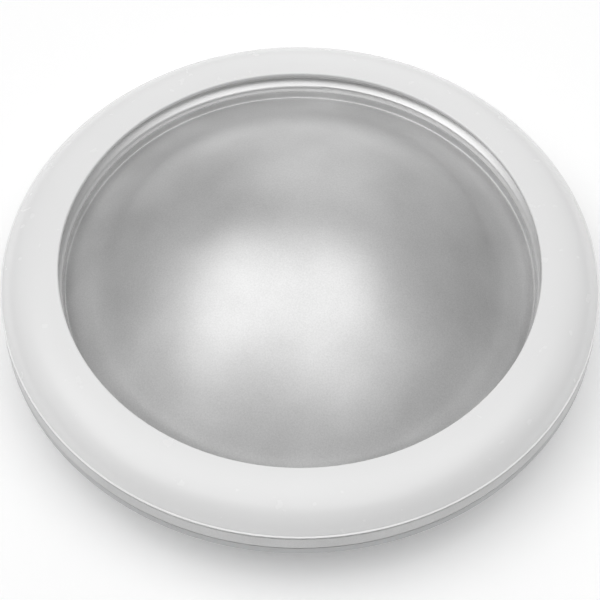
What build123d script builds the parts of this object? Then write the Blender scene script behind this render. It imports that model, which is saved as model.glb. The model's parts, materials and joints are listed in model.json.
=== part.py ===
"""Talking clock: a flat round table clock that speaks the time when its silver dome is pressed.

Millimetres, +Z up. The origin is the centre of the footprint, on the table. The front is -Y.
The white ring, the side band and the base are clamped together by screws from below. The dome
slides down inside the ring on four pins and springs. Board, speaker and cells sit in the base.
"""
import os
from math import cos, radians, sin, tan

from build123d import *

os.makedirs("parts", exist_ok=True)

# Whole clock
body_radius = 65.0
seam_height = 19.5
crest_height = 25.8
foot_standout = 1.2
groove_width = 0.25
groove_depth = 1.0

# Clearances
slide_gap = 0.3
guide_gap = 0.1
screw_gap = 0.05
contact_gap = 0.05

# White ring
ring_width = 13.0
crown_handle = 7.8
ring_side_rise = 3.85
ring_side_lean = 1.93
ring_foot_width = 2.6
ring_roof = 2.2
ring_lip = 1.2
ring_edge_round = 0.4
bead_width = 0.35
bead_height = 0.3
bead_round = 0.1
skirt_wall = 1.5
skirt_foot_height = 16.8
ring_boss_count = 4
ring_boss_angle = 22.5
ring_boss_offset = 0.5
ring_boss_radius = 2.3
ring_boss_root = 0.3

# Silver dome
dome_apex_height = 40.4
dome_wall = 1.8
dome_top_handle = 19.3
dome_side_handle = 22.0
dome_edge_slope = 37.0
dome_foot_width = 5.6
crease_height = 18.0
crease_inset = 0.7
crease_round = 0.3
flare_rise = 2.1
flare_lean = 5.0
flare_radius = 1.5
flare_turn = 55.0
ledge_length = 1.8
upstand_wall = 2.4
dome_travel = 1.0
post_radius = 3.5
post_gap = 0.1
rib_reach = 14.0
rib_foot_rise = 2.7
rib_tip_drop = 3.0
rib_thickness = 1.2
rib_edge = 0.9
guide_count = 4
guide_angle = 45.0
guide_inset = 3.5
pin_radius = 1.5
pin_reach = 0.6

# Carrier plate under the ring
carrier_top = 13.5
carrier_thickness = 1.5
carrier_reach = 7.4
carrier_overhang = 3.0
ear_radius = 2.6
cup_radius = 4.2
cup_wall = 0.9
cup_floor_height = 10.0
cup_floor = 1.0

# Return springs
spring_radius = 2.5
spring_wire_radius = 0.25
spring_turns = 5

# Side band
band_foot_height = 15.5
band_edge_round = 0.2

# Base
floor_thickness = 2.0
floor_inset = 13.0
lip_foot_height = 13.15
lip_setback = 0.1
lip_round = 0.4
flank_low_handle = 5.0
flank_high_drop = 4.15
flank_high_lean = 3.1
flank_wall = 2.6
flank_inner_rise = 1.0
tongue_seam_gap = 0.5
tongue_wall = 1.2
case_screw_count = 4
case_screw_inset = 5.0
case_boss_radius = 4.3
case_boss_height = 5.2
case_seat_height = 3.8
case_hole_radius = 1.45
case_recess_radius = 2.8
foot_count = 4
foot_inset = 5.5
foot_radius = 4.5
foot_recess = 0.8
foot_edge_round = 0.4

# Screws
screw_radius = 1.25
screw_head_radius = 2.0
screw_head_height = 1.6
case_head_radius = 2.4
case_screw_length = 6.9
carrier_screw_length = 7.0
pilot_extra = 0.5
drive_width = 0.5
drive_depth = 0.6
drive_reach = 1.3

# Cells and their compartment
cell_radius = 5.25
cell_length = 44.5
nub_radius = 1.9
nub_length = 1.0
cell_edge_round = 0.5
cell_gap = 0.7
cell_wall_gap = 0.35
cell_floor_gap = 0.3
compartment_start = 8.1
compartment_half_length = 24.6
compartment_wall = 1.4
roof_gap = 0.3
roof_thickness = 1.2
plate_thickness = 0.4
plate_half_width = 4.5
plate_foot_rise = 1.1
plate_roof_gap = 0.5
tab_half_width = 1.5
tab_reach = 1.6
coil_radius = 2.6
coil_wire_radius = 0.3
coil_turns = 3

# Battery door
door_thickness = 1.6
door_gap = 0.3
ledge_width = 1.2
ledge_height = 1.1
hinge_tab_offset = 14.0
hinge_tab_width = 6.0
hinge_tab_length = 1.5
hinge_tab_thickness = 0.8
hinge_tab_lift = 0.2
hinge_neck = 1.2
slot_side_gap = 0.4
slot_top_gap = 1.0
tongue_half_width = 4.0
door_tongue_wall = 0.9
door_tongue_inset = 0.6
door_tongue_rise = 1.6
scoop_half_width = 6.0
scoop_length = 3.0
scoop_depth = 1.0
grip_count = 3
grip_spacing = 1.8
grip_width = 0.8
grip_depth = 0.3
grip_half_length = 7.0
grip_inset = 2.6

# Loudspeaker
speaker_x = -17.0
speaker_y = -19.0
speaker_radius = 18.0
gasket_inner_radius = 14.5
gasket_thickness = 0.5
frame_sheet = 0.8
basket_radius = 15.0
basket_top_radius = 10.6
basket_height = 5.2
pole_radius = 4.2
magnet_radius = 9.5
magnet_height = 3.6
yoke_radius = 10.0
yoke_height = 0.8
cone_radius = 14.7
cone_neck_radius = 4.0
cone_depth = 3.2
cone_sheet = 0.3
cone_roll = 1.7
speaker_post_offset = 2.6
speaker_post_radius = 2.3
speaker_post_angle = 80.0
speaker_post_count = 3
speaker_head_radius = 3.0
speaker_head_height = 1.2
speaker_screw_radius = 0.95
speaker_screw_length = 2.3
grille_hole_radius = 0.8
grille_spacing = 3.5
grille_rings = 3
grille_holes_per_ring = 6

# Circuit board
board_height = 9.0
board_thickness = 1.6
board_rim_gap = 2.1
board_left = -5.5
board_back = 5.2
board_speaker_gap = 2.5
board_boss_radius = 2.6
board_boss_places = ((38.0, -12.0), (4.0, -37.0), (11.0, 1.5))
board_screw_radius = 1.0
board_head_radius = 1.9
board_head_height = 1.3
board_screw_length = 5.0
centre_post_radius = 2.5
dome_switch_size = 6.0
dome_switch_height = 4.0
plunger_radius = 1.7
plunger_height = 2.0
plunger_sunk = 2.4
plunger_floor_gap = 0.2
chip_x = 22.0
chip_y = -10.0
chip_size = 8.0
chip_height = 1.2
chip_round = 0.5
crystal_inset = 8.5
crystal_y = -3.0
crystal_radius = 1.0
crystal_length = 6.0
capacitor_places = ((12.0, -24.0), (19.0, -24.0))
capacitor_radius = 2.5
capacitor_height = 7.0
capacitor_round = 0.4

# Keys in the underside
key_columns = (19.0, 31.0)
key_rows = (-6.0, -17.0)
key_radius = 3.2
key_recess = 0.3
key_round = 0.4
key_flange_radius = 4.0
key_flange = 0.8
key_lift = 0.2
key_guide_wall = 0.9
key_travel = 0.8
key_guide_rise = 0.5
bell_flange_radius = 4.0
bell_flange = 0.6
bell_shoulder_radius = 3.5
bell_neck_radius = 2.2
bell_neck_height = 1.3
bell_wall = 0.6

# Slide switches
slide_places = (("alarm_switch", 10.0), ("volume_switch", 23.0))
slide_y = -29.0
slide_travel = 3.0
slide_case_length = 9.0
slide_case_width = 4.0
slide_case_height = 3.5
lever_half_size = 0.5
lever_reach = 1.0
knob_half_length = 2.0
knob_half_width = 1.3
knob_recess = 0.3
knob_flange_half_length = 4.6
knob_flange_half_width = 2.5
knob_flange = 1.0
knob_groove = 0.3
knob_groove_spacing = 1.2

# Wires
wire_radius = 0.65
wire_bend = 2.0
wire_pad_y = 2.0
wire_1_x = 30.0
wire_2_x = 33.5
wire_start = 0.3
speaker_wire_rows = (-20.5, -17.5)
speaker_wire_start = -0.5
speaker_wire_rise_x = 1.6
speaker_wire_end = 6.5
speaker_wire_bend = 1.2

# Heights and radii that follow from the sizes above
floor_top = foot_standout + floor_thickness
bore_radius = body_radius - ring_width
floor_radius = body_radius - floor_inset
lip_radius = body_radius - lip_setback
lip_top = band_foot_height - groove_width
tongue_height = seam_height - tongue_seam_gap
groove_radius = body_radius - groove_depth
ring_inner_radius = body_radius - ring_foot_width
tongue_radius = ring_inner_radius - slide_gap
tongue_inner_radius = tongue_radius - tongue_wall
roof_underside = crest_height - ring_roof
lip_underside = crest_height - ring_lip
upstand_top = lip_underside - slide_gap
upstand_radius = bore_radius + upstand_wall
skirt_inner_radius = upstand_radius + slide_gap
skirt_outer_radius = skirt_inner_radius + skirt_wall
ring_boss_circle_radius = skirt_outer_radius + ring_boss_offset
crease_radius = bore_radius - crease_inset
hollow_radius = crease_radius - dome_foot_width
guide_circle_radius = bore_radius - guide_inset
carrier_inner_radius = bore_radius - carrier_reach
carrier_outer_radius = bore_radius + carrier_overhang
case_screw_circle_radius = floor_radius - case_screw_inset
foot_circle_radius = floor_radius - foot_inset
board_radius = carrier_inner_radius - board_rim_gap
crystal_x = board_radius - crystal_inset
speaker_post_circle_radius = speaker_radius + speaker_post_offset
dome_underside = crease_height - dome_wall
hollow_edge_height = crease_height + dome_foot_width * tan(radians(dome_edge_slope)) - dome_wall
carrier_underside = carrier_top - carrier_thickness
cup_bore_radius = cup_radius - cup_wall
cup_underside = cup_floor_height - cup_floor
board_top = board_height + board_thickness
plunger_top = board_top + dome_switch_height + plunger_height
cell_centre_height = foot_standout + door_thickness + cell_floor_gap + cell_radius
cell_spacing = 2 * cell_radius + cell_gap
cell_1_y = compartment_start + cell_wall_gap + cell_radius
cell_2_y = cell_1_y + cell_spacing
compartment_end = cell_2_y + cell_radius + cell_wall_gap
compartment_roof = cell_centre_height + cell_radius + roof_gap
plate_foot_height = cell_centre_height - cell_radius + plate_foot_rise
plate_top_height = compartment_roof - plate_roof_gap
compartment_middle = (compartment_start + compartment_end) / 2
compartment_width = compartment_end - compartment_start
plate_face = compartment_half_length - plate_thickness
cell_tip = plate_face - contact_gap
cell_tail = cell_length - cell_tip
gasket_top = floor_top + gasket_thickness
flange_top = gasket_top + frame_sheet
basket_top = gasket_top + basket_height
wire_height = board_top + wire_radius + contact_gap


def plane_at(x, y, z):
    """A level plane with its origin at a point."""
    return Plane(origin=(x, y, z))


def upright_plane(x, y):
    """An upright plane for a section that turns about the vertical through (x, y)."""
    return Plane(origin=(x, y, 0), x_dir=(1, 0, 0), z_dir=(0, -1, 0))


def round_corner(section, place, radius):
    """Fillet the section's corner that is nearest to a place."""
    fillet(section.vertices().sort_by_distance(Vector(*place))[0], radius)


def cap_line(top, edge, top_handle, edge_handle):
    """The dome's curve in section: level at its top, at the dome's edge slope where it ends."""
    slope = radians(dome_edge_slope)
    return Bezier(top, (top_handle, top[1]),
                  (edge[0] - edge_handle * cos(slope), edge[1] + edge_handle * sin(slope)), edge)


def polar_places(radius, count, start_angle):
    """Points spaced evenly on a circle about the clock's axis."""
    angles = [radians(start_angle + 360 * index / count) for index in range(count)]
    return [(radius * cos(angle), radius * sin(angle)) for angle in angles]


def screws(places, seat_height, head_radius, head_height, shank_radius, length, head_side):
    """Screws along Z as one group. head_side is -1 where the head is below its seat, 1 where above."""
    with BuildPart() as group:
        with BuildSketch(Plane.XY.offset(seat_height)):
            with Locations(*places):
                Circle(head_radius)
        extrude(amount=head_side * head_height)
        with BuildSketch(Plane.XY.offset(seat_height)):
            with Locations(*places):
                Circle(shank_radius)
        extrude(amount=-head_side * length)
        with BuildSketch(Plane.XY.offset(seat_height + head_side * head_height)):
            with Locations(*places):
                Rectangle(2 * drive_reach, drive_width)
                Rectangle(drive_width, 2 * drive_reach)
        extrude(amount=-head_side * drive_depth, mode=Mode.SUBTRACT)
    return group


# White ring: rounded crown, bead at its foot, lip over the dome's rim, skirt round the dome, screw bosses
ring_boss_places = polar_places(ring_boss_circle_radius, ring_boss_count, ring_boss_angle)
with BuildPart() as top_ring:
    with BuildSketch(Plane.XZ) as ring_section:
        with BuildLine():
            crown_edge = (bore_radius, crest_height)
            ring_foot = (body_radius, seam_height)
            inner_foot = (ring_inner_radius, seam_height)
            bead_edge = (body_radius, seam_height + bead_height)
            side_foot = (body_radius - bead_width, seam_height + bead_height)
            roof_edge = (skirt_outer_radius, roof_underside)
            Bezier(crown_edge, (bore_radius + crown_handle, crest_height),
                   (body_radius - ring_side_lean, seam_height + ring_side_rise), side_foot)
            Polyline(side_foot, bead_edge, ring_foot, inner_foot)
            Bezier(inner_foot, (ring_inner_radius - ring_side_lean, seam_height + ring_side_rise / 2),
                   (skirt_outer_radius + crown_handle / 2, roof_underside), roof_edge)
            Polyline(roof_edge, (skirt_outer_radius, skirt_foot_height),
                     (skirt_inner_radius, skirt_foot_height), (skirt_inner_radius, lip_underside),
                     (bore_radius, lip_underside), crown_edge)
        make_face()
        round_corner(ring_section, crown_edge, ring_edge_round)
        round_corner(ring_section, (bore_radius, lip_underside), ring_edge_round)
        round_corner(ring_section, ring_foot, bead_round)
        round_corner(ring_section, bead_edge, bead_round)
    revolve(axis=Axis.Z)
    with BuildSketch(Plane.XY.offset(carrier_top)):
        with Locations(*ring_boss_places):
            Circle(ring_boss_radius)
        Circle(skirt_inner_radius, mode=Mode.SUBTRACT)
    extrude(amount=roof_underside + ring_boss_root - carrier_top)
    with BuildSketch(Plane.XY.offset(carrier_top)):
        with Locations(*ring_boss_places):
            Circle(screw_radius + screw_gap)
    extrude(amount=carrier_screw_length - carrier_thickness + pilot_extra, mode=Mode.SUBTRACT)
top_ring.part.label = "top_ring"
export_step(top_ring.part, "parts/top_ring.step")

# Silver dome: high cap, upstand that flares to a ledge under the ring's lip, post with ribs, guide pins
guide_places = polar_places(guide_circle_radius, guide_count, guide_angle)
with BuildPart() as dome_button:
    with BuildSketch(Plane.XZ) as dome_section:
        with BuildLine():
            apex = (0, dome_apex_height)
            crease = (crease_radius, crease_height)
            hollow_apex = (0, dome_apex_height - dome_wall)
            hollow_edge = (hollow_radius, hollow_edge_height)
            flare_start = (crease_radius + flare_rise * tan(radians(flare_lean)), crease_height + flare_rise)
            cap_line(apex, crease, dome_top_handle, dome_side_handle)
            Line(crease, flare_start)
            flare = JernArc(flare_start, (sin(radians(flare_lean)), cos(radians(flare_lean))),
                            flare_radius, -flare_turn)
            ledge_edge = flare @ 1 + ledge_length * (flare % 1)
            Polyline(flare @ 1, ledge_edge, (ledge_edge.X, upstand_top), (upstand_radius, upstand_top),
                     (upstand_radius, dome_underside), (hollow_radius, dome_underside), hollow_edge)
            hollow_share = hollow_radius / crease_radius
            cap_line(hollow_apex, hollow_edge,
                     dome_top_handle * hollow_share, dome_side_handle * hollow_share)
            Line(hollow_apex, apex)
        make_face()
        round_corner(dome_section, crease, crease_round)
    revolve(axis=Axis.Z)
    with BuildSketch(Plane.XY.offset(plunger_top + post_gap)):
        Circle(post_radius)
    extrude(amount=dome_apex_height - dome_wall / 2 - plunger_top - post_gap)
    for rib_plane in (Plane.XZ, Plane.YZ):
        with BuildSketch(rib_plane):
            with BuildLine():
                rib_peak = dome_apex_height - dome_wall / 2
                rib_top = dome_apex_height - rib_tip_drop
                rib_foot = plunger_top + post_gap + rib_foot_rise
                Polyline((-rib_reach, rib_top), (-rib_reach, rib_top - rib_edge),
                         (-post_radius, rib_foot), (post_radius, rib_foot),
                         (rib_reach, rib_top - rib_edge), (rib_reach, rib_top), (0, rib_peak), close=True)
            make_face()
        extrude(amount=rib_thickness / 2, both=True)
    with BuildSketch(Plane.XY.offset(cup_underside - pin_reach)):
        with Locations(*guide_places):
            Circle(pin_radius)
    extrude(amount=dome_underside + dome_wall / 2 - cup_underside + pin_reach)
dome_button.part.label = "dome_button"
export_step(dome_button.part, "parts/dome_button.step")

# Side band between ring and base, stepped at its top so that a narrow groove shows
with BuildPart() as side_band:
    with BuildSketch(Plane.XZ) as band_section:
        with BuildLine():
            Polyline((ring_inner_radius, band_foot_height), (body_radius, band_foot_height),
                     (body_radius, seam_height - groove_width), (groove_radius, seam_height - groove_width),
                     (groove_radius, seam_height), (ring_inner_radius, seam_height), close=True)
        make_face()
        round_corner(band_section, (body_radius, band_foot_height), band_edge_round)
        round_corner(band_section, (body_radius, seam_height - groove_width), band_edge_round)
    revolve(axis=Axis.Z)
side_band.part.label = "side_band"
export_step(side_band.part, "parts/side_band.step")

# Carrier plate: ring with ears, spring cups, guide holes and bosses for the case screws
case_places = polar_places(case_screw_circle_radius, case_screw_count, 0)
with BuildPart() as carrier_plate:
    with BuildSketch(Plane.XY.offset(carrier_underside)):
        Circle(carrier_outer_radius)
        with Locations(*ring_boss_places):
            Circle(ear_radius)
        Circle(carrier_inner_radius, mode=Mode.SUBTRACT)
    extrude(amount=carrier_thickness)
    with BuildSketch(Plane.XY.offset(cup_underside)):
        with Locations(*guide_places):
            Circle(cup_radius)
    extrude(amount=carrier_top - cup_underside)
    with BuildSketch(Plane.XY.offset(case_boss_height)):
        with Locations(*case_places):
            Circle(case_boss_radius - cup_wall)
    extrude(amount=carrier_top - case_boss_height)
    with BuildSketch(Plane.XY.offset(cup_floor_height)):
        with Locations(*guide_places):
            Circle(cup_bore_radius)
    extrude(amount=carrier_top - cup_floor_height, mode=Mode.SUBTRACT)
    with BuildSketch(Plane.XY.offset(cup_underside)):
        with Locations(*guide_places):
            Circle(pin_radius + guide_gap)
    extrude(amount=cup_floor, mode=Mode.SUBTRACT)
    with BuildSketch(Plane.XY.offset(carrier_underside)):
        with Locations(*ring_boss_places):
            Circle(screw_radius + screw_gap)
    extrude(amount=carrier_thickness, mode=Mode.SUBTRACT)
    with BuildSketch(Plane.XY.offset(case_boss_height)):
        with Locations(*case_places):
            Circle(screw_radius + screw_gap)
    extrude(amount=case_screw_length + case_seat_height - case_boss_height + pilot_extra,
            mode=Mode.SUBTRACT)
carrier_plate.part.label = "carrier_plate"
export_step(carrier_plate.part, "parts/carrier_plate.step")

carrier_screws = screws(ring_boss_places, carrier_underside, screw_head_radius, screw_head_height,
                        screw_radius, carrier_screw_length, -1)
carrier_screws.part.label = "carrier_screws"
export_step(carrier_screws.part, "parts/carrier_screws.step")

case_screws = screws(case_places, case_seat_height, case_head_radius, screw_head_height,
                     screw_radius, case_screw_length, -1)
case_screws.part.label = "case_screws"
export_step(case_screws.part, "parts/case_screws.step")

# Return springs: open coils from the cups up to the dome
spring_bottom = cup_floor_height + contact_gap + spring_wire_radius
spring_height = dome_underside - contact_gap - spring_wire_radius - spring_bottom
for index, (x, y) in enumerate(guide_places, 1):
    with BuildPart() as return_spring:
        with BuildLine() as coil:
            Helix(spring_height / spring_turns, spring_height, spring_radius, center=(x, y, spring_bottom))
        with BuildSketch(Plane(origin=coil.line @ 0, z_dir=coil.line % 0)):
            Circle(spring_wire_radius)
        sweep(path=coil.line, is_frenet=True)
    return_spring.part.label = f"return_spring_{index}"
    export_step(return_spring.part, f"parts/return_spring_{index}.step")

# Base: bowl with lip and tongue, compartment for the cells, posts, openings for keys and sound
foot_places = polar_places(foot_circle_radius, foot_count, guide_angle)
key_places = [(x, y) for y in key_rows for x in key_columns]
speaker_post_places = [(speaker_x + x, speaker_y + y) for x, y in
                       polar_places(speaker_post_circle_radius, speaker_post_count, speaker_post_angle)]
grille_places = [(speaker_x, speaker_y)]
for ring_index in range(1, grille_rings + 1):
    ring_places = polar_places(ring_index * grille_spacing, ring_index * grille_holes_per_ring, 0)
    grille_places += [(speaker_x + x, speaker_y + y) for x, y in ring_places]
with BuildPart() as base_shell:
    with BuildSketch(Plane.XZ) as base_section:
        with BuildLine():
            floor_edge = (floor_radius, foot_standout)
            lip_foot = (lip_radius, lip_foot_height)
            tongue_foot = (tongue_inner_radius, lip_foot_height + flank_inner_rise)
            inner_floor_edge = (floor_radius - floor_thickness, floor_top)
            Polyline((0, floor_top), (0, foot_standout), floor_edge)
            Bezier(floor_edge, (floor_radius + flank_low_handle, foot_standout),
                   (lip_radius - flank_high_lean, lip_foot_height - flank_high_drop), lip_foot)
            Polyline(lip_foot, (lip_radius, lip_top), (groove_radius, lip_top),
                     (groove_radius, band_foot_height), (tongue_radius, band_foot_height),
                     (tongue_radius, tongue_height), (tongue_inner_radius, tongue_height), tongue_foot)
            Bezier(tongue_foot,
                   (lip_radius - flank_high_lean - flank_wall,
                    lip_foot_height - flank_high_drop + flank_inner_rise),
                   (floor_radius + flank_low_handle - floor_thickness, floor_top), inner_floor_edge)
            Line(inner_floor_edge, (0, floor_top))
        make_face()
        round_corner(base_section, lip_foot, lip_round)
    revolve(axis=Axis.Z)
    # Compartment for the cells: walls and roof
    with BuildSketch(plane_at(0, compartment_middle, floor_top)):
        Rectangle(2 * (compartment_half_length + compartment_wall), compartment_width + 2 * compartment_wall)
    extrude(amount=compartment_roof + roof_thickness - floor_top)
    with BuildSketch(plane_at(0, compartment_middle, foot_standout)):
        Rectangle(2 * compartment_half_length, compartment_width)
    extrude(amount=compartment_roof - foot_standout, mode=Mode.SUBTRACT)
    # Ledges that the door closes against
    for side in (-1, 1):
        ledge_x = side * (compartment_half_length - ledge_width / 2)
        with BuildSketch(plane_at(ledge_x, compartment_middle, foot_standout + door_thickness)):
            Rectangle(ledge_width, compartment_width)
        extrude(amount=ledge_height)
    # Slots in the wall for the door's hinge tabs, and for the solder tabs of the contacts
    slot_y = compartment_start - compartment_wall / 2
    for side in (-1, 1):
        with BuildSketch(plane_at(side * hinge_tab_offset, slot_y, floor_top)):
            Rectangle(hinge_tab_width + 2 * slot_side_gap, compartment_wall)
        extrude(amount=hinge_tab_lift + hinge_tab_thickness + slot_top_gap, mode=Mode.SUBTRACT)
    for cell_y in (cell_1_y, cell_2_y):
        slot_x = compartment_half_length + compartment_wall / 2
        with BuildSketch(plane_at(slot_x, cell_y, board_top - plate_thickness - contact_gap)):
            Rectangle(compartment_wall, 2 * (tab_half_width + contact_gap))
        extrude(amount=plate_thickness + 2 * contact_gap, mode=Mode.SUBTRACT)
    # Scoop for a fingertip at the door's free edge
    with BuildSketch(plane_at(0, compartment_end + scoop_length / 2, foot_standout)):
        Rectangle(2 * scoop_half_width, scoop_length)
    extrude(amount=scoop_depth, mode=Mode.SUBTRACT)
    # Posts for the case screws, the board, the dome switch and the speaker
    with BuildSketch(Plane.XY.offset(floor_top)):
        with Locations(*case_places):
            Circle(case_boss_radius)
    extrude(amount=case_boss_height - floor_top)
    with BuildSketch(Plane.XY.offset(floor_top)):
        with Locations(*board_boss_places):
            Circle(board_boss_radius)
        Circle(centre_post_radius)
    extrude(amount=board_height - floor_top)
    with BuildSketch(Plane.XY.offset(floor_top)):
        with Locations(*speaker_post_places):
            Circle(speaker_post_radius)
    extrude(amount=flange_top - floor_top)
    # Walls round the keys
    key_guide_radius = key_flange_radius + slide_gap
    with BuildSketch(Plane.XY.offset(floor_top)):
        with Locations(*key_places):
            Circle(key_guide_radius + key_guide_wall)
            Circle(key_guide_radius, mode=Mode.SUBTRACT)
    extrude(amount=key_lift + key_flange + key_travel + key_guide_rise)
    # Recesses for the case screws' heads and the feet
    with BuildSketch(Plane.XY.offset(foot_standout)):
        with Locations(*case_places):
            Circle(case_recess_radius)
    extrude(amount=case_seat_height - foot_standout, mode=Mode.SUBTRACT)
    with BuildSketch(Plane.XY.offset(case_seat_height)):
        with Locations(*case_places):
            Circle(case_hole_radius)
    extrude(amount=case_boss_height - case_seat_height, mode=Mode.SUBTRACT)
    with BuildSketch(Plane.XY.offset(foot_standout)):
        with Locations(*foot_places):
            Circle(foot_radius + guide_gap)
    extrude(amount=foot_recess, mode=Mode.SUBTRACT)
    # Holes for sound, keys and slide knobs
    with BuildSketch(Plane.XY.offset(foot_standout)):
        with Locations(*grille_places):
            Circle(grille_hole_radius)
        with Locations(*key_places):
            Circle(key_radius + slide_gap)
        for switch_name, switch_x in slide_places:
            with Locations((switch_x, slide_y)):
                Rectangle(2 * (knob_half_length + slide_gap) + slide_travel,
                          2 * (knob_half_width + slide_gap))
    extrude(amount=floor_thickness, mode=Mode.SUBTRACT)
    # Pilot holes for the board's and the speaker's screws
    with BuildSketch(Plane.XY.offset(board_height)):
        with Locations(*board_boss_places):
            Circle(board_screw_radius + screw_gap)
    extrude(amount=board_thickness - board_screw_length - pilot_extra, mode=Mode.SUBTRACT)
    with BuildSketch(Plane.XY.offset(flange_top)):
        with Locations(*speaker_post_places):
            Circle(speaker_screw_radius + screw_gap)
    extrude(amount=-speaker_screw_length - contact_gap, mode=Mode.SUBTRACT)
base_shell.part.label = "base_shell"
export_step(base_shell.part, "parts/base_shell.step")

# Rubber feet
for index, (x, y) in enumerate(foot_places, 1):
    with BuildPart() as rubber_foot:
        with BuildSketch(plane_at(x, y, 0)):
            Circle(foot_radius)
        extrude(amount=foot_standout + foot_recess)
        fillet(rubber_foot.edges().group_by(Axis.Z)[0], foot_edge_round)
    rubber_foot.part.label = f"rubber_foot_{index}"
    export_step(rubber_foot.part, f"parts/rubber_foot_{index}.step")

# Battery door: plate, two hinge tabs, friction tongue and grip lines
door_start = compartment_start + door_gap
door_end = compartment_end - door_gap
door_top = foot_standout + door_thickness
with BuildPart() as battery_door:
    with BuildSketch(plane_at(0, compartment_middle, foot_standout)):
        Rectangle(2 * (compartment_half_length - door_gap), compartment_width - 2 * door_gap)
    extrude(amount=door_thickness)
    for side in (-1, 1):
        with BuildSketch(plane_at(side * hinge_tab_offset, door_start + hinge_neck / 2, door_top)):
            Rectangle(hinge_tab_width, hinge_neck)
        extrude(amount=floor_top + hinge_tab_lift + hinge_tab_thickness - door_top)
        tab_middle = door_start + (hinge_neck - hinge_tab_length) / 2
        with BuildSketch(plane_at(side * hinge_tab_offset, tab_middle, floor_top + hinge_tab_lift)):
            Rectangle(hinge_tab_width, hinge_tab_length + hinge_neck)
        extrude(amount=hinge_tab_thickness)
    tongue_middle = compartment_end - door_tongue_inset - door_tongue_wall / 2
    with BuildSketch(plane_at(0, tongue_middle, door_top)):
        Rectangle(2 * tongue_half_width, door_tongue_wall)
    extrude(amount=door_tongue_rise)
    with BuildSketch(plane_at(0, door_end - grip_inset - grip_spacing, foot_standout)):
        with GridLocations(0, grip_spacing, 1, grip_count):
            Rectangle(2 * grip_half_length, grip_width)
    extrude(amount=grip_depth, mode=Mode.SUBTRACT)
battery_door.part.label = "battery_door"
export_step(battery_door.part, "parts/battery_door.step")

# Cells, head to tail. Cell 1 points to +X, cell 2 to -X
for index, (cell_y, direction) in enumerate(((cell_1_y, 1), (cell_2_y, -1)), 1):
    can_end = cell_tip - nub_length
    with BuildPart() as battery:
        can_start = (-direction * cell_tail, cell_y, cell_centre_height)
        with BuildSketch(Plane(origin=can_start, z_dir=(direction, 0, 0))):
            Circle(cell_radius)
        extrude(amount=can_end + cell_tail)
        fillet(battery.edges().filter_by(GeomType.CIRCLE), cell_edge_round)
        nub_plane = Plane(origin=(direction * can_end, cell_y, cell_centre_height), z_dir=(direction, 0, 0))
        with BuildSketch(nub_plane):
            Circle(nub_radius)
        extrude(amount=nub_length)
    battery.part.label = f"battery_{index}"
    export_step(battery.part, f"parts/battery_{index}.step")


def contact_plate(side, centre_y, half_width):
    """A contact plate on the compartment's end wall."""
    plate_plane = Plane(origin=(side * compartment_half_length, centre_y, plate_foot_height))
    with BuildPart() as plate:
        with BuildSketch(plate_plane):
            wall_side = Align.MAX if side > 0 else Align.MIN
            Rectangle(plate_thickness, 2 * half_width, align=(wall_side, Align.CENTER))
        extrude(amount=plate_top_height - plate_foot_height)
        if side > 0:
            with BuildSketch(plane_at(compartment_half_length, centre_y, board_top - plate_thickness)):
                Rectangle(compartment_wall + tab_reach, 2 * tab_half_width, align=(Align.MIN, Align.CENTER))
            extrude(amount=plate_thickness)
    return plate


contact_positive = contact_plate(1, cell_1_y, plate_half_width)
contact_positive.part.label = "contact_positive"
export_step(contact_positive.part, "parts/contact_positive.step")

contact_negative = contact_plate(1, cell_2_y, plate_half_width)
contact_negative.part.label = "contact_negative"
export_step(contact_negative.part, "parts/contact_negative.step")

contact_link = contact_plate(-1, compartment_middle, plate_half_width + cell_spacing / 2)
contact_link.part.label = "contact_link"
export_step(contact_link.part, "parts/contact_link.step")

# Coil springs between the plates and the cells' flat ends
coil_height = plate_face - cell_tail - 2 * contact_gap - 2 * coil_wire_radius
for index, (cell_y, direction) in enumerate(((cell_1_y, 1), (cell_2_y, -1)), 1):
    coil_start = (-direction * (plate_face - contact_gap - coil_wire_radius), cell_y, cell_centre_height)
    with BuildPart() as battery_spring:
        with BuildLine() as coil:
            Helix(coil_height / coil_turns, coil_height, coil_radius, center=coil_start,
                  direction=(direction, 0, 0))
        with BuildSketch(Plane(origin=coil.line @ 0, z_dir=coil.line % 0)):
            Circle(coil_wire_radius)
        sweep(path=coil.line, is_frenet=True)
    battery_spring.part.label = f"battery_spring_{index}"
    export_step(battery_spring.part, f"parts/battery_spring_{index}.step")

# Loudspeaker, face down over the grille
speaker_axis = Axis((speaker_x, speaker_y, 0), (0, 0, 1))
with BuildPart() as speaker_gasket:
    with BuildSketch(plane_at(speaker_x, speaker_y, floor_top)):
        Circle(speaker_radius)
        Circle(gasket_inner_radius, mode=Mode.SUBTRACT)
    extrude(amount=gasket_thickness)
speaker_gasket.part.label = "speaker_gasket"
export_step(speaker_gasket.part, "parts/speaker_gasket.step")

with BuildPart() as speaker_frame:
    with BuildSketch(upright_plane(speaker_x, speaker_y)):
        with BuildLine():
            Polyline((basket_radius, gasket_top), (speaker_radius, gasket_top), (speaker_radius, flange_top),
                     (basket_radius + frame_sheet, flange_top), (basket_top_radius + frame_sheet, basket_top),
                     (pole_radius, basket_top), (pole_radius, basket_top - frame_sheet),
                     (basket_top_radius, basket_top - frame_sheet),
                     (basket_radius, flange_top - frame_sheet / 2), close=True)
        make_face()
    revolve(axis=speaker_axis)
speaker_frame.part.label = "speaker_frame"
export_step(speaker_frame.part, "parts/speaker_frame.step")

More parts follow.
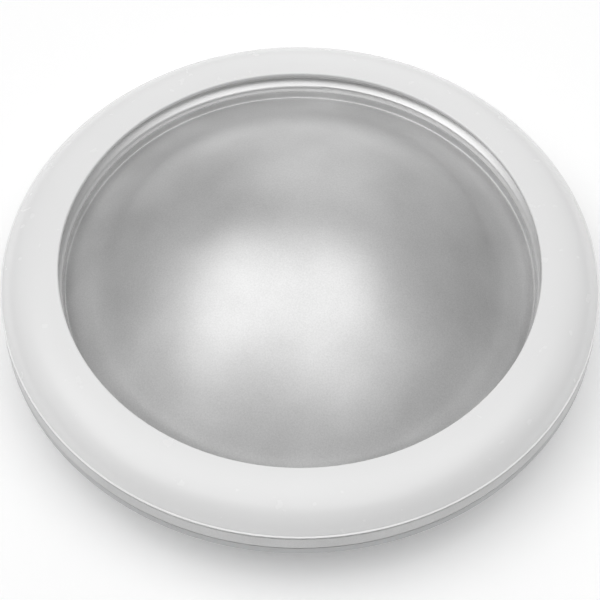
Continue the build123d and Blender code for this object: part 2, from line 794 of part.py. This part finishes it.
with BuildPart() as speaker_cone:
    with BuildSketch(upright_plane(speaker_x, speaker_y)):
        with BuildLine():
            cone_foot = gasket_top + contact_gap
            cone_top = cone_foot + cone_depth
            Polyline((cone_radius, cone_foot), (cone_radius, cone_foot + cone_sheet),
                     (cone_radius - cone_roll, cone_foot + cone_sheet),
                     (cone_neck_radius, cone_top + cone_sheet),
                     (0, cone_top + cone_sheet), (0, cone_top), (cone_neck_radius - cone_sheet, cone_top),
                     (cone_radius - cone_roll - cone_sheet, cone_foot), close=True)
        make_face()
    revolve(axis=speaker_axis)
speaker_cone.part.label = "speaker_cone"
export_step(speaker_cone.part, "parts/speaker_cone.step")

with BuildPart() as speaker_magnet:
    with BuildSketch(plane_at(speaker_x, speaker_y, basket_top)):
        Circle(magnet_radius)
    extrude(amount=magnet_height)
    with BuildSketch(plane_at(speaker_x, speaker_y, basket_top + magnet_height)):
        Circle(yoke_radius)
    extrude(amount=yoke_height)
speaker_magnet.part.label = "speaker_magnet"
export_step(speaker_magnet.part, "parts/speaker_magnet.step")

speaker_screws = screws(speaker_post_places, flange_top, speaker_head_radius, speaker_head_height,
                        speaker_screw_radius, speaker_screw_length, 1)
speaker_screws.part.label = "speaker_screws"
export_step(speaker_screws.part, "parts/speaker_screws.step")

# Circuit board, cut away round the speaker, and its screws
with BuildPart() as main_board:
    with BuildSketch(Plane.XY.offset(board_height)):
        Circle(board_radius)
        with Locations((board_left, board_back)):
            Rectangle(2 * board_radius, 2 * board_radius, align=(Align.MIN, Align.MAX), mode=Mode.INTERSECT)
        with Locations((speaker_x, speaker_y)):
            Circle(speaker_radius + board_speaker_gap, mode=Mode.SUBTRACT)
        with Locations(*board_boss_places):
            Circle(board_screw_radius + screw_gap, mode=Mode.SUBTRACT)
    extrude(amount=board_thickness)
main_board.part.label = "main_board"
export_step(main_board.part, "parts/main_board.step")

board_screws = screws(board_boss_places, board_top, board_head_radius, board_head_height,
                      board_screw_radius, board_screw_length, 1)
board_screws.part.label = "board_screws"
export_step(board_screws.part, "parts/board_screws.step")

# Push switch under the dome's post
with BuildPart() as dome_switch:
    with BuildSketch(Plane.XY.offset(board_top)):
        Rectangle(dome_switch_size, dome_switch_size)
    extrude(amount=dome_switch_height)
    with BuildSketch(Plane.XY.offset(board_top + dome_switch_height)):
        Circle(plunger_radius + guide_gap)
    extrude(amount=-plunger_sunk - dome_travel - plunger_floor_gap, mode=Mode.SUBTRACT)
dome_switch.part.label = "dome_switch"
export_step(dome_switch.part, "parts/dome_switch.step")

with BuildPart() as dome_switch_plunger:
    with BuildSketch(Plane.XY.offset(board_top + dome_switch_height - plunger_sunk)):
        Circle(plunger_radius)
    extrude(amount=plunger_height + plunger_sunk)
dome_switch_plunger.part.label = "dome_switch_plunger"
export_step(dome_switch_plunger.part, "parts/dome_switch_plunger.step")

# Parts on the board's upper side
with BuildPart() as voice_chip:
    with BuildSketch(plane_at(chip_x, chip_y, board_top)):
        Rectangle(chip_size, chip_size)
    extrude(amount=chip_height)
    fillet(voice_chip.edges().group_by(Axis.Z)[-1], chip_round)
voice_chip.part.label = "voice_chip"
export_step(voice_chip.part, "parts/voice_chip.step")

with BuildPart() as clock_crystal:
    crystal_plane = Plane(origin=(crystal_x - crystal_length / 2, crystal_y,
                                  board_top + crystal_radius + contact_gap), z_dir=(1, 0, 0))
    with BuildSketch(crystal_plane):
        Circle(crystal_radius)
    extrude(amount=crystal_length)
clock_crystal.part.label = "clock_crystal"
export_step(clock_crystal.part, "parts/clock_crystal.step")

with BuildPart() as capacitors:
    with BuildSketch(Plane.XY.offset(board_top)):
        with Locations(*capacitor_places):
            Circle(capacitor_radius)
    extrude(amount=capacitor_height)
    fillet(capacitors.edges().group_by(Axis.Z)[-1], capacitor_round)
capacitors.part.label = "capacitors"
export_step(capacitors.part, "parts/capacitors.step")

# Keys in the underside, each under its rubber bell
key_flange_height = floor_top + key_lift
bell_foot = key_flange_height + key_flange + contact_gap
bell_top = board_height - contact_gap
for index, (x, y) in enumerate(key_places, 1):
    with BuildPart() as set_key:
        with BuildSketch(plane_at(x, y, foot_standout + key_recess)):
            Circle(key_radius)
        extrude(amount=key_flange_height - foot_standout - key_recess)
        fillet(set_key.edges().group_by(Axis.Z)[0], key_round)
        with BuildSketch(plane_at(x, y, key_flange_height)):
            Circle(key_flange_radius)
        extrude(amount=key_flange)
    set_key.part.label = f"set_key_{index}"
    export_step(set_key.part, f"parts/set_key_{index}.step")

    with BuildPart() as key_bell:
        with BuildSketch(upright_plane(x, y)):
            with BuildLine():
                shoulder_height = bell_top - bell_flange
                neck_top = bell_foot + bell_neck_height
                Polyline((0, bell_foot), (bell_neck_radius, bell_foot), (bell_neck_radius, neck_top),
                         (bell_shoulder_radius, shoulder_height), (bell_flange_radius, shoulder_height),
                         (bell_flange_radius, bell_top), (bell_shoulder_radius - bell_wall, bell_top),
                         (bell_neck_radius - bell_wall, neck_top + bell_wall), (0, neck_top + bell_wall),
                         close=True)
            make_face()
        revolve(axis=Axis((x, y, 0), (0, 0, 1)))
    key_bell.part.label = f"key_bell_{index}"
    export_step(key_bell.part, f"parts/key_bell_{index}.step")

# Slide switches under the board, drawn with the knob at its first stop
knob_flange_height = floor_top + key_lift
lever_foot = board_height - slide_case_height
for switch_name, switch_x in slide_places:
    with BuildPart() as slide_case:
        with BuildSketch(plane_at(switch_x, slide_y, lever_foot)):
            Rectangle(slide_case_length, slide_case_width)
        extrude(amount=slide_case_height)
        with BuildSketch(plane_at(switch_x, slide_y, lever_foot)):
            Rectangle(2 * (lever_half_size + slide_gap) + slide_travel, 2 * (lever_half_size + slide_gap))
        extrude(amount=lever_reach + slide_gap, mode=Mode.SUBTRACT)
    slide_case.part.label = switch_name
    export_step(slide_case.part, f"parts/{switch_name}.step")

    knob_x = switch_x - slide_travel / 2
    with BuildPart() as slide_knob:
        with BuildSketch(plane_at(knob_x, slide_y, foot_standout + knob_recess)):
            Rectangle(2 * knob_half_length, 2 * knob_half_width)
        extrude(amount=knob_flange_height - foot_standout - knob_recess)
        with BuildSketch(plane_at(knob_x, slide_y, foot_standout + knob_recess)):
            with GridLocations(knob_groove_spacing, 0, 3, 1):
                Rectangle(knob_groove, 2 * knob_half_width)
        extrude(amount=knob_groove, mode=Mode.SUBTRACT)
        with BuildSketch(plane_at(knob_x, slide_y, knob_flange_height)):
            Rectangle(2 * knob_flange_half_length, 2 * knob_flange_half_width)
        extrude(amount=knob_flange)
        with BuildSketch(plane_at(knob_x, slide_y, knob_flange_height + knob_flange)):
            Rectangle(2 * lever_half_size, 2 * lever_half_size)
        extrude(amount=lever_foot + lever_reach - knob_flange_height - knob_flange)
    slide_knob.part.label = f"{switch_name}_knob"
    export_step(slide_knob.part, f"parts/{switch_name}_knob.step")


def wire(points, bend):
    """A round wire along straight runs joined by arcs."""
    with BuildPart() as lead:
        with BuildLine() as route:
            FilletPolyline(*points, radius=bend)
        with BuildSketch(Plane(origin=route.line @ 0, z_dir=route.line % 0)):
            Circle(wire_radius)
        sweep(path=route.line)
    return lead


# Wires from the contacts and from the speaker to the board
wire_start_x = compartment_half_length + compartment_wall + wire_start
for index, (cell_y, corner_x) in enumerate(((cell_1_y, wire_1_x), (cell_2_y, wire_2_x)), 1):
    battery_wire = wire([(wire_start_x, cell_y, wire_height), (corner_x, cell_y, wire_height),
                         (corner_x, wire_pad_y, wire_height)], wire_bend)
    battery_wire.part.label = f"battery_wire_{index}"
    export_step(battery_wire.part, f"parts/battery_wire_{index}.step")

speaker_wire_height = flange_top + wire_radius + contact_gap
for index, wire_y in enumerate(speaker_wire_rows, 1):
    speaker_wire = wire([(speaker_wire_start, wire_y, speaker_wire_height),
                         (speaker_wire_rise_x, wire_y, speaker_wire_height),
                         (speaker_wire_rise_x, wire_y, wire_height),
                         (speaker_wire_end, wire_y, wire_height)], speaker_wire_bend)
    speaker_wire.part.label = f"speaker_wire_{index}"
    export_step(speaker_wire.part, f"parts/speaker_wire_{index}.step")
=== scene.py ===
"""Talking clock: finishes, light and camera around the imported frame. Metres, in the frame's own axes."""
import json
from math import cos, radians, sin

import bpy
from mathutils import Matrix, Vector

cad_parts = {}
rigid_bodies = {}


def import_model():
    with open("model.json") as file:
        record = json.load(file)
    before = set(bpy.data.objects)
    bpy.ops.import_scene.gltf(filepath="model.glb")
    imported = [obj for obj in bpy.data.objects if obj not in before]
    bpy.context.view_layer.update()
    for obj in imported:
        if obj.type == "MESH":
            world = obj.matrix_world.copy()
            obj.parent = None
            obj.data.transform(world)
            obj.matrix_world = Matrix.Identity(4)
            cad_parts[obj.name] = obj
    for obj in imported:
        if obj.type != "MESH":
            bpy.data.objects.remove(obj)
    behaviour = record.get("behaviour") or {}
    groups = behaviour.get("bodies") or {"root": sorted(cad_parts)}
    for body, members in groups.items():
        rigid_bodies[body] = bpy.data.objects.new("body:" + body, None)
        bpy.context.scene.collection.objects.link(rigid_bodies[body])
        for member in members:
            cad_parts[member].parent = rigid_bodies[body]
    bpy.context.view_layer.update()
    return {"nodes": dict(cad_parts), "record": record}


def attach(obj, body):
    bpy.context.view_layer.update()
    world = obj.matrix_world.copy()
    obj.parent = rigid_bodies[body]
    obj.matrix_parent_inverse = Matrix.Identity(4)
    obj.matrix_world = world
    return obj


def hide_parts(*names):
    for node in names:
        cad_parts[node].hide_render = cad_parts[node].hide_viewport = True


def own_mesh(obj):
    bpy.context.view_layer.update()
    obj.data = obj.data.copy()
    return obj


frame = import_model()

scene = bpy.context.scene
nodes = frame["nodes"]

# Camera, from the ellipses of the seam and of the ring's inner edge
picture_size = 600
focal_pixels = 2200
camera_azimuth = radians(5.5)
camera_elevation = radians(54.7)
camera_distance = 0.479
camera_roll = radians(0.25)
camera_nearest = 0.01
camera_farthest = 20
seam_centre = Vector((0, 0, 0.0195))
seam_pixel = (299.7, 275.0)
sensor_width = 36

# Floor
floor_size = 6
floor_gap = 0.00005
floor_grey = 0.9
floor_roughness = 0.8
floor_glow = 0.18

# Light that comes evenly from everywhere
world_level = 0.1
# Overhead soft box, in slopes from straight up: centre, half size and soft edge
box_centre = (-0.14, -0.07)
box_half = (0.76, 0.54)
box_edge = 0.6
box_level = 2.05
# Least upward part of a direction: flatter and downward directions count as this
box_lowest = 0.02
# Azimuth, elevation, sharpness and level of each pale wall: behind, left, right
studio_lobes = ((180, 24, 12, 1.0), (270, 45, 12, 0.5), (90, 45, 12, 0.28))

# Plastic and metal: detail of their noise, and the share by which the roughness of each varies
grain_detail = 3
plastic_unevenness = 0.15
metal_unevenness = 0.2
# Clouds of colour per metre in plastic, and the roughness of a clear coat on it
plastic_clouds = 60
coat_roughness = 0.06

# Metallic paint: flakes and clouds per metre with their detail and contrast
flakes = 3000
flake_contrast = 0.7
flake_depth = 0.00001
clouds = 70
cloud_contrast = 0.4
paint_detail = 2
paint_roughness = (0.28, 0.38)
paint_metallic = 0.45
# Smoother paint beyond the foot of the dome, its grey raised as a painted reflection of the soft box, and the
# width over which it begins
dome_foot_radius = 0.0512
smooth_start = 0.0003
painted_reflection_grey = 0.8
smooth_roughness = 0.27

micron = 0.000001


def grey(level):
    """A colour with no hue."""
    return (level, level, level)


def make_tree(name):
    """A material with its node tree and shader."""
    made = bpy.data.materials.new(name)
    made.use_nodes = True
    return made, made.node_tree, made.node_tree.nodes["Principled BSDF"]


def add(tree, kind, inputs=None, **values):
    """A node with its properties and input values. An input that is a socket is linked."""
    made = tree.nodes.new(kind)
    for key, value in values.items():
        setattr(made, key, value)
    for key, value in (inputs or {}).items():
        if isinstance(value, bpy.types.NodeSocket):
            tree.links.new(value, made.inputs[key])
        else:
            made.inputs[key].default_value = value
    return made


def combine(tree, operation, first, second=0.0):
    """One step of arithmetic on two numbers or sockets."""
    return add(tree, "ShaderNodeMath", {0: first, 1: second}, operation=operation).outputs["Value"]


def spread(tree, value, low, high):
    """The value, 0 to 1, mapped to a range."""
    return add(tree, "ShaderNodeMapRange", {"Value": value, "To Min": low, "To Max": high}).outputs["Result"]


def noise(tree, scale, detail, roughness=0.5):
    """Solid noise in the piece's own axes; scale is features per metre."""
    place = add(tree, "ShaderNodeTexCoord").outputs["Object"]
    inputs = {"Vector": place, "Scale": scale, "Detail": detail, "Roughness": roughness}
    return add(tree, "ShaderNodeTexNoise", inputs).outputs["Fac"]


def bump(tree, height, distance):
    """A bump normal from a height."""
    return add(tree, "ShaderNodeBump", {"Height": height, "Distance": distance}).outputs["Normal"]


def shade(tree, value, dark, light):
    """A colour between two, by a value from 0 to 1."""
    inputs = {"Factor": value, "A": (*dark, 1), "B": (*light, 1)}
    return add(tree, "ShaderNodeMix", inputs, data_type="RGBA").outputs["Result"]


def beyond_radius(tree, radius, width):
    """0 nearer to the piece's upright axis than a radius, and 1 farther out than that by a width."""
    place = add(tree, "ShaderNodeTexCoord").outputs["Object"]
    flat = add(tree, "ShaderNodeVectorMath", {0: place, 1: (1, 1, 0)}, operation="MULTIPLY").outputs["Vector"]
    out = add(tree, "ShaderNodeVectorMath", {0: flat}, operation="LENGTH").outputs["Value"]
    inputs = {"Value": out, "From Min": radius, "From Max": radius + width}
    return add(tree, "ShaderNodeMapRange", inputs).outputs["Result"]


def uneven_gloss(tree, grain, roughness, share):
    """A roughness that varies with the grain, by a share up and down."""
    return spread(tree, grain, roughness * (1 - share), roughness * (1 + share))


def plastic(name, dark, light, roughness, grain_scale, grain_depth, coat=0.0):
    """Moulded plastic: slight cloudiness of colour, uneven gloss and, where it has a depth, a fine grain."""
    made, tree, shader = make_tree(name)
    cloud = noise(tree, plastic_clouds, grain_detail)
    grain = noise(tree, grain_scale, grain_detail)
    gloss = uneven_gloss(tree, grain, roughness, plastic_unevenness)
    tree.links.new(shade(tree, cloud, dark, light), shader.inputs["Base Color"])
    tree.links.new(gloss, shader.inputs["Roughness"])
    if grain_depth:
        tree.links.new(bump(tree, grain, grain_depth), shader.inputs["Normal"])
    shader.inputs["Coat Weight"].default_value = coat
    shader.inputs["Coat Roughness"].default_value = coat_roughness
    return made


def metal(name, dark, light, roughness, grain_scale, grain_depth):
    """Bare or plated metal with fine grain."""
    made, tree, shader = make_tree(name)
    grain = noise(tree, grain_scale, grain_detail)
    gloss = uneven_gloss(tree, grain, roughness, metal_unevenness)
    tree.links.new(shade(tree, grain, dark, light), shader.inputs["Base Color"])
    tree.links.new(gloss, shader.inputs["Roughness"])
    tree.links.new(bump(tree, grain, grain_depth), shader.inputs["Normal"])
    shader.inputs["Metallic"].default_value = 1.0
    return made


def silver_paint(name, dark, light, smooth_and_painted_from=None):
    """Metallic paint: flakes of differing brightness and soft clouds; beyond a radius smoother, with a
    lighter grey that is a painted reflection.
    """
    made, tree, shader = make_tree(name)
    flake = noise(tree, flakes, paint_detail, flake_contrast)
    cloud = noise(tree, clouds, paint_detail, cloud_contrast)
    mean = combine(tree, "MULTIPLY", combine(tree, "ADD", flake, cloud), 0.5)
    colour = shade(tree, mean, grey(dark), grey(light))
    roughness = spread(tree, flake, *paint_roughness)
    if smooth_and_painted_from:
        rim = beyond_radius(tree, smooth_and_painted_from, smooth_start)
        # Beyond the radius: a lighter grey as painted reflection, and a real smoother gloss
        blend = {"Factor": rim, "A": colour, "B": (*grey(painted_reflection_grey), 1)}
        colour = add(tree, "ShaderNodeMix", blend, data_type="RGBA").outputs["Result"]
        blend = {"Factor": rim, "A": roughness, "B": smooth_roughness}
        roughness = add(tree, "ShaderNodeMix", blend).outputs["Result"]
    tree.links.new(colour, shader.inputs["Base Color"])
    tree.links.new(roughness, shader.inputs["Roughness"])
    tree.links.new(bump(tree, flake, flake_depth), shader.inputs["Normal"])
    shader.inputs["Metallic"].default_value = paint_metallic
    return made


def lobe(tree, direction, azimuth, elevation, sharpness, level):
    """Soft light in the surroundings, brightest in one direction."""
    a, e = radians(azimuth), radians(elevation)
    inputs = {0: direction, 1: (sin(a) * cos(e), -cos(a) * cos(e), sin(e))}
    facing = add(tree, "ShaderNodeVectorMath", inputs, operation="DOT_PRODUCT").outputs["Value"]
    soft = combine(tree, "POWER", combine(tree, "MAXIMUM", facing, 0.0), sharpness)
    return combine(tree, "MULTIPLY", soft, level)


def soft_box(tree, direction):
    """Evenly bright rectangle overhead with soft edges."""
    along = add(tree, "ShaderNodeSeparateXYZ", {0: direction}).outputs
    up = combine(tree, "MAXIMUM", along["Z"], box_lowest)
    level = box_level
    for axis, centre, half in zip("XY", box_centre, box_half):
        shift = combine(tree, "SUBTRACT", combine(tree, "DIVIDE", along[axis], up), centre)
        away = combine(tree, "ABSOLUTE", shift)
        inputs = {"Value": away, "From Min": half + box_edge / 2, "From Max": half - box_edge / 2}
        side = add(tree, "ShaderNodeMapRange", inputs, interpolation_type="SMOOTHSTEP").outputs["Result"]
        level = combine(tree, "MULTIPLY", side, level)
    return level


# Finish of each material of the record
finishes = {
    "ring_plastic": plastic("gloss_white", grey(0.87), grey(0.9),
                            roughness=0.26, grain_scale=300, grain_depth=0, coat=0.1),
    "dome_paint": silver_paint("satin_silver", dark=0.4, light=0.85, smooth_and_painted_from=dome_foot_radius),
    "band_paint": silver_paint("band_silver", dark=0.42, light=0.74),
    "base_plastic": plastic("light_grey", (0.50, 0.505, 0.51), (0.56, 0.565, 0.57),
                            roughness=0.42, grain_scale=2600, grain_depth=10 * micron),
    "carrier_plastic": plastic("natural_plastic", (0.62, 0.61, 0.58), (0.68, 0.67, 0.64),
                               roughness=0.5, grain_scale=2000, grain_depth=10 * micron),
    "screw_steel": metal("zinc_steel", (0.52, 0.53, 0.55), (0.66, 0.67, 0.69),
                         roughness=0.3, grain_scale=4000, grain_depth=4 * micron),
    "spring_steel": metal("spring_steel", (0.42, 0.42, 0.43), (0.6, 0.6, 0.61),
                          roughness=0.28, grain_scale=5000, grain_depth=3 * micron),
    "cell_can": metal("cell_jacket", (0.1, 0.2, 0.34), (0.14, 0.26, 0.42),
                      roughness=0.34, grain_scale=1500, grain_depth=3 * micron),
    "contact_steel": metal("nickel_steel", (0.62, 0.61, 0.57), (0.74, 0.73, 0.69),
                           roughness=0.24, grain_scale=4000, grain_depth=3 * micron),
    "gasket_foam": plastic("black_foam", grey(0.012), grey(0.04),
                           roughness=0.9, grain_scale=3000, grain_depth=100 * micron),
    "frame_steel": metal("pressed_steel", (0.48, 0.48, 0.46), (0.6, 0.6, 0.58),
                         roughness=0.4, grain_scale=3000, grain_depth=4 * micron),
    "cone_paper": plastic("cone_paper", grey(0.03), (0.07, 0.065, 0.06),
                          roughness=0.85, grain_scale=2500, grain_depth=50 * micron),
    "magnet_ferrite": plastic("ferrite", (0.03, 0.03, 0.032), (0.06, 0.06, 0.062),
                              roughness=0.6, grain_scale=2500, grain_depth=30 * micron),
    "board_laminate": plastic("green_laminate", (0.01, 0.09, 0.035), (0.02, 0.14, 0.06),
                              roughness=0.35, grain_scale=1500, grain_depth=10 * micron, coat=0.3),
    "chip_resin": plastic("chip_resin", (0.012, 0.012, 0.013), (0.03, 0.03, 0.032),
                          roughness=0.45, grain_scale=3000, grain_depth=20 * micron),
    "crystal_can": metal("crystal_can", (0.6, 0.6, 0.58), (0.75, 0.75, 0.72),
                         roughness=0.2, grain_scale=3000, grain_depth=2 * micron),
    "capacitor_can": plastic("capacitor_sleeve", (0.02, 0.03, 0.07), (0.03, 0.045, 0.1),
                             roughness=0.35, grain_scale=2000, grain_depth=10 * micron, coat=0.3),
    "switch_plastic": plastic("black_plastic", (0.015, 0.015, 0.016), (0.03, 0.03, 0.032),
                              roughness=0.4, grain_scale=2500, grain_depth=10 * micron),
    "plunger_plastic": plastic("plunger_grey", (0.2, 0.2, 0.21), (0.26, 0.26, 0.27),
                               roughness=0.4, grain_scale=2500, grain_depth=10 * micron),
    "switch_can": metal("switch_can", (0.55, 0.55, 0.54), (0.7, 0.7, 0.69),
                        roughness=0.3, grain_scale=3000, grain_depth=3 * micron),
    "knob_plastic": plastic("knob_grey", (0.16, 0.165, 0.17), (0.2, 0.205, 0.21),
                            roughness=0.45, grain_scale=2500, grain_depth=10 * micron),
    "key_plastic": plastic("key_grey", (0.22, 0.225, 0.23), (0.27, 0.275, 0.28),
                           roughness=0.45, grain_scale=2500, grain_depth=10 * micron),
    "bell_rubber": plastic("bell_rubber", (0.5, 0.5, 0.48), (0.58, 0.58, 0.56),
                           roughness=0.7, grain_scale=2000, grain_depth=10 * micron),
    "foot_rubber": plastic("foot_rubber", (0.025, 0.025, 0.026), (0.05, 0.05, 0.052),
                           roughness=0.75, grain_scale=2500, grain_depth=30 * micron),
    "wire_red": plastic("wire_red", (0.42, 0.015, 0.012), (0.5, 0.025, 0.02),
                        roughness=0.4, grain_scale=2000, grain_depth=10 * micron),
    "wire_black": plastic("wire_black", grey(0.012), grey(0.025),
                          roughness=0.4, grain_scale=2000, grain_depth=10 * micron),
}

for node in nodes.values():
    for material_slot in node.material_slots:
        material_slot.material = finishes[material_slot.material.name]

# Springs and rubber bells of each joint: each is swapped for its own copy, carried by the joint's parent body
for joint in frame["record"]["behaviour"]["joints"]:
    for row in joint.get("deforming_nodes", ()):
        name, fixed = row["node"], row["fixed_end_z_m"]
        soft = bpy.data.objects.new(name + "_soft", nodes[name].data.copy())
        scene.collection.objects.link(soft)
        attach(soft, joint["parent"])
        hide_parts(name)
        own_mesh(soft)

# Floor, a hair below the feet so that it shares no plane with them
bpy.ops.mesh.primitive_plane_add(size=floor_size, location=(0, 0, -floor_gap))
floor = bpy.context.object
floor.name = "floor"
floor_material, _, floor_shader = make_tree("floor")
floor_shader.inputs["Base Color"].default_value = (*grey(floor_grey), 1)
floor_shader.inputs["Roughness"].default_value = floor_roughness
floor_shader.inputs["Emission Color"].default_value = (1, 1, 1, 1)
floor_shader.inputs["Emission Strength"].default_value = floor_glow
floor.data.materials.append(floor_material)

# Studio light
world = bpy.data.worlds.new("studio")
scene.world = world
world.use_nodes = True
world_tree = world.node_tree
look = add(world_tree, "ShaderNodeTexCoord").outputs["Generated"]
total = combine(world_tree, "ADD", soft_box(world_tree, look), world_level)
for azimuth, elevation, sharpness, level in studio_lobes:
    one = lobe(world_tree, look, azimuth, elevation, sharpness, level)
    total = combine(world_tree, "ADD", one, total)
world_tree.links.new(total, world_tree.nodes["Background"].inputs["Strength"])
world_tree.nodes["Background"].inputs["Color"].default_value = (1, 1, 1, 1)

# Camera
camera_data = bpy.data.cameras.new("camera")
camera_data.sensor_width = sensor_width
camera_data.lens = focal_pixels * sensor_width / picture_size
camera_data.clip_start = camera_nearest
camera_data.clip_end = camera_farthest
camera = bpy.data.objects.new("camera", camera_data)
scene.collection.objects.link(camera)
back = Vector((sin(camera_azimuth) * cos(camera_elevation),
               -cos(camera_azimuth) * cos(camera_elevation),
               sin(camera_elevation)))
turn = back.to_track_quat("Z", "Y").to_matrix()
pan = Matrix.Rotation((seam_pixel[0] - picture_size / 2) / focal_pixels, 3, "Y")
tilt = Matrix.Rotation((seam_pixel[1] - picture_size / 2) / focal_pixels, 3, "X")
roll = Matrix.Rotation(camera_roll, 3, "Z")
camera.location = seam_centre + back * camera_distance
camera.rotation_mode = "QUATERNION"
camera.rotation_quaternion = (turn @ pan @ tilt @ roll).to_quaternion()
scene.camera = camera
scene.view_settings.view_transform = "Standard"
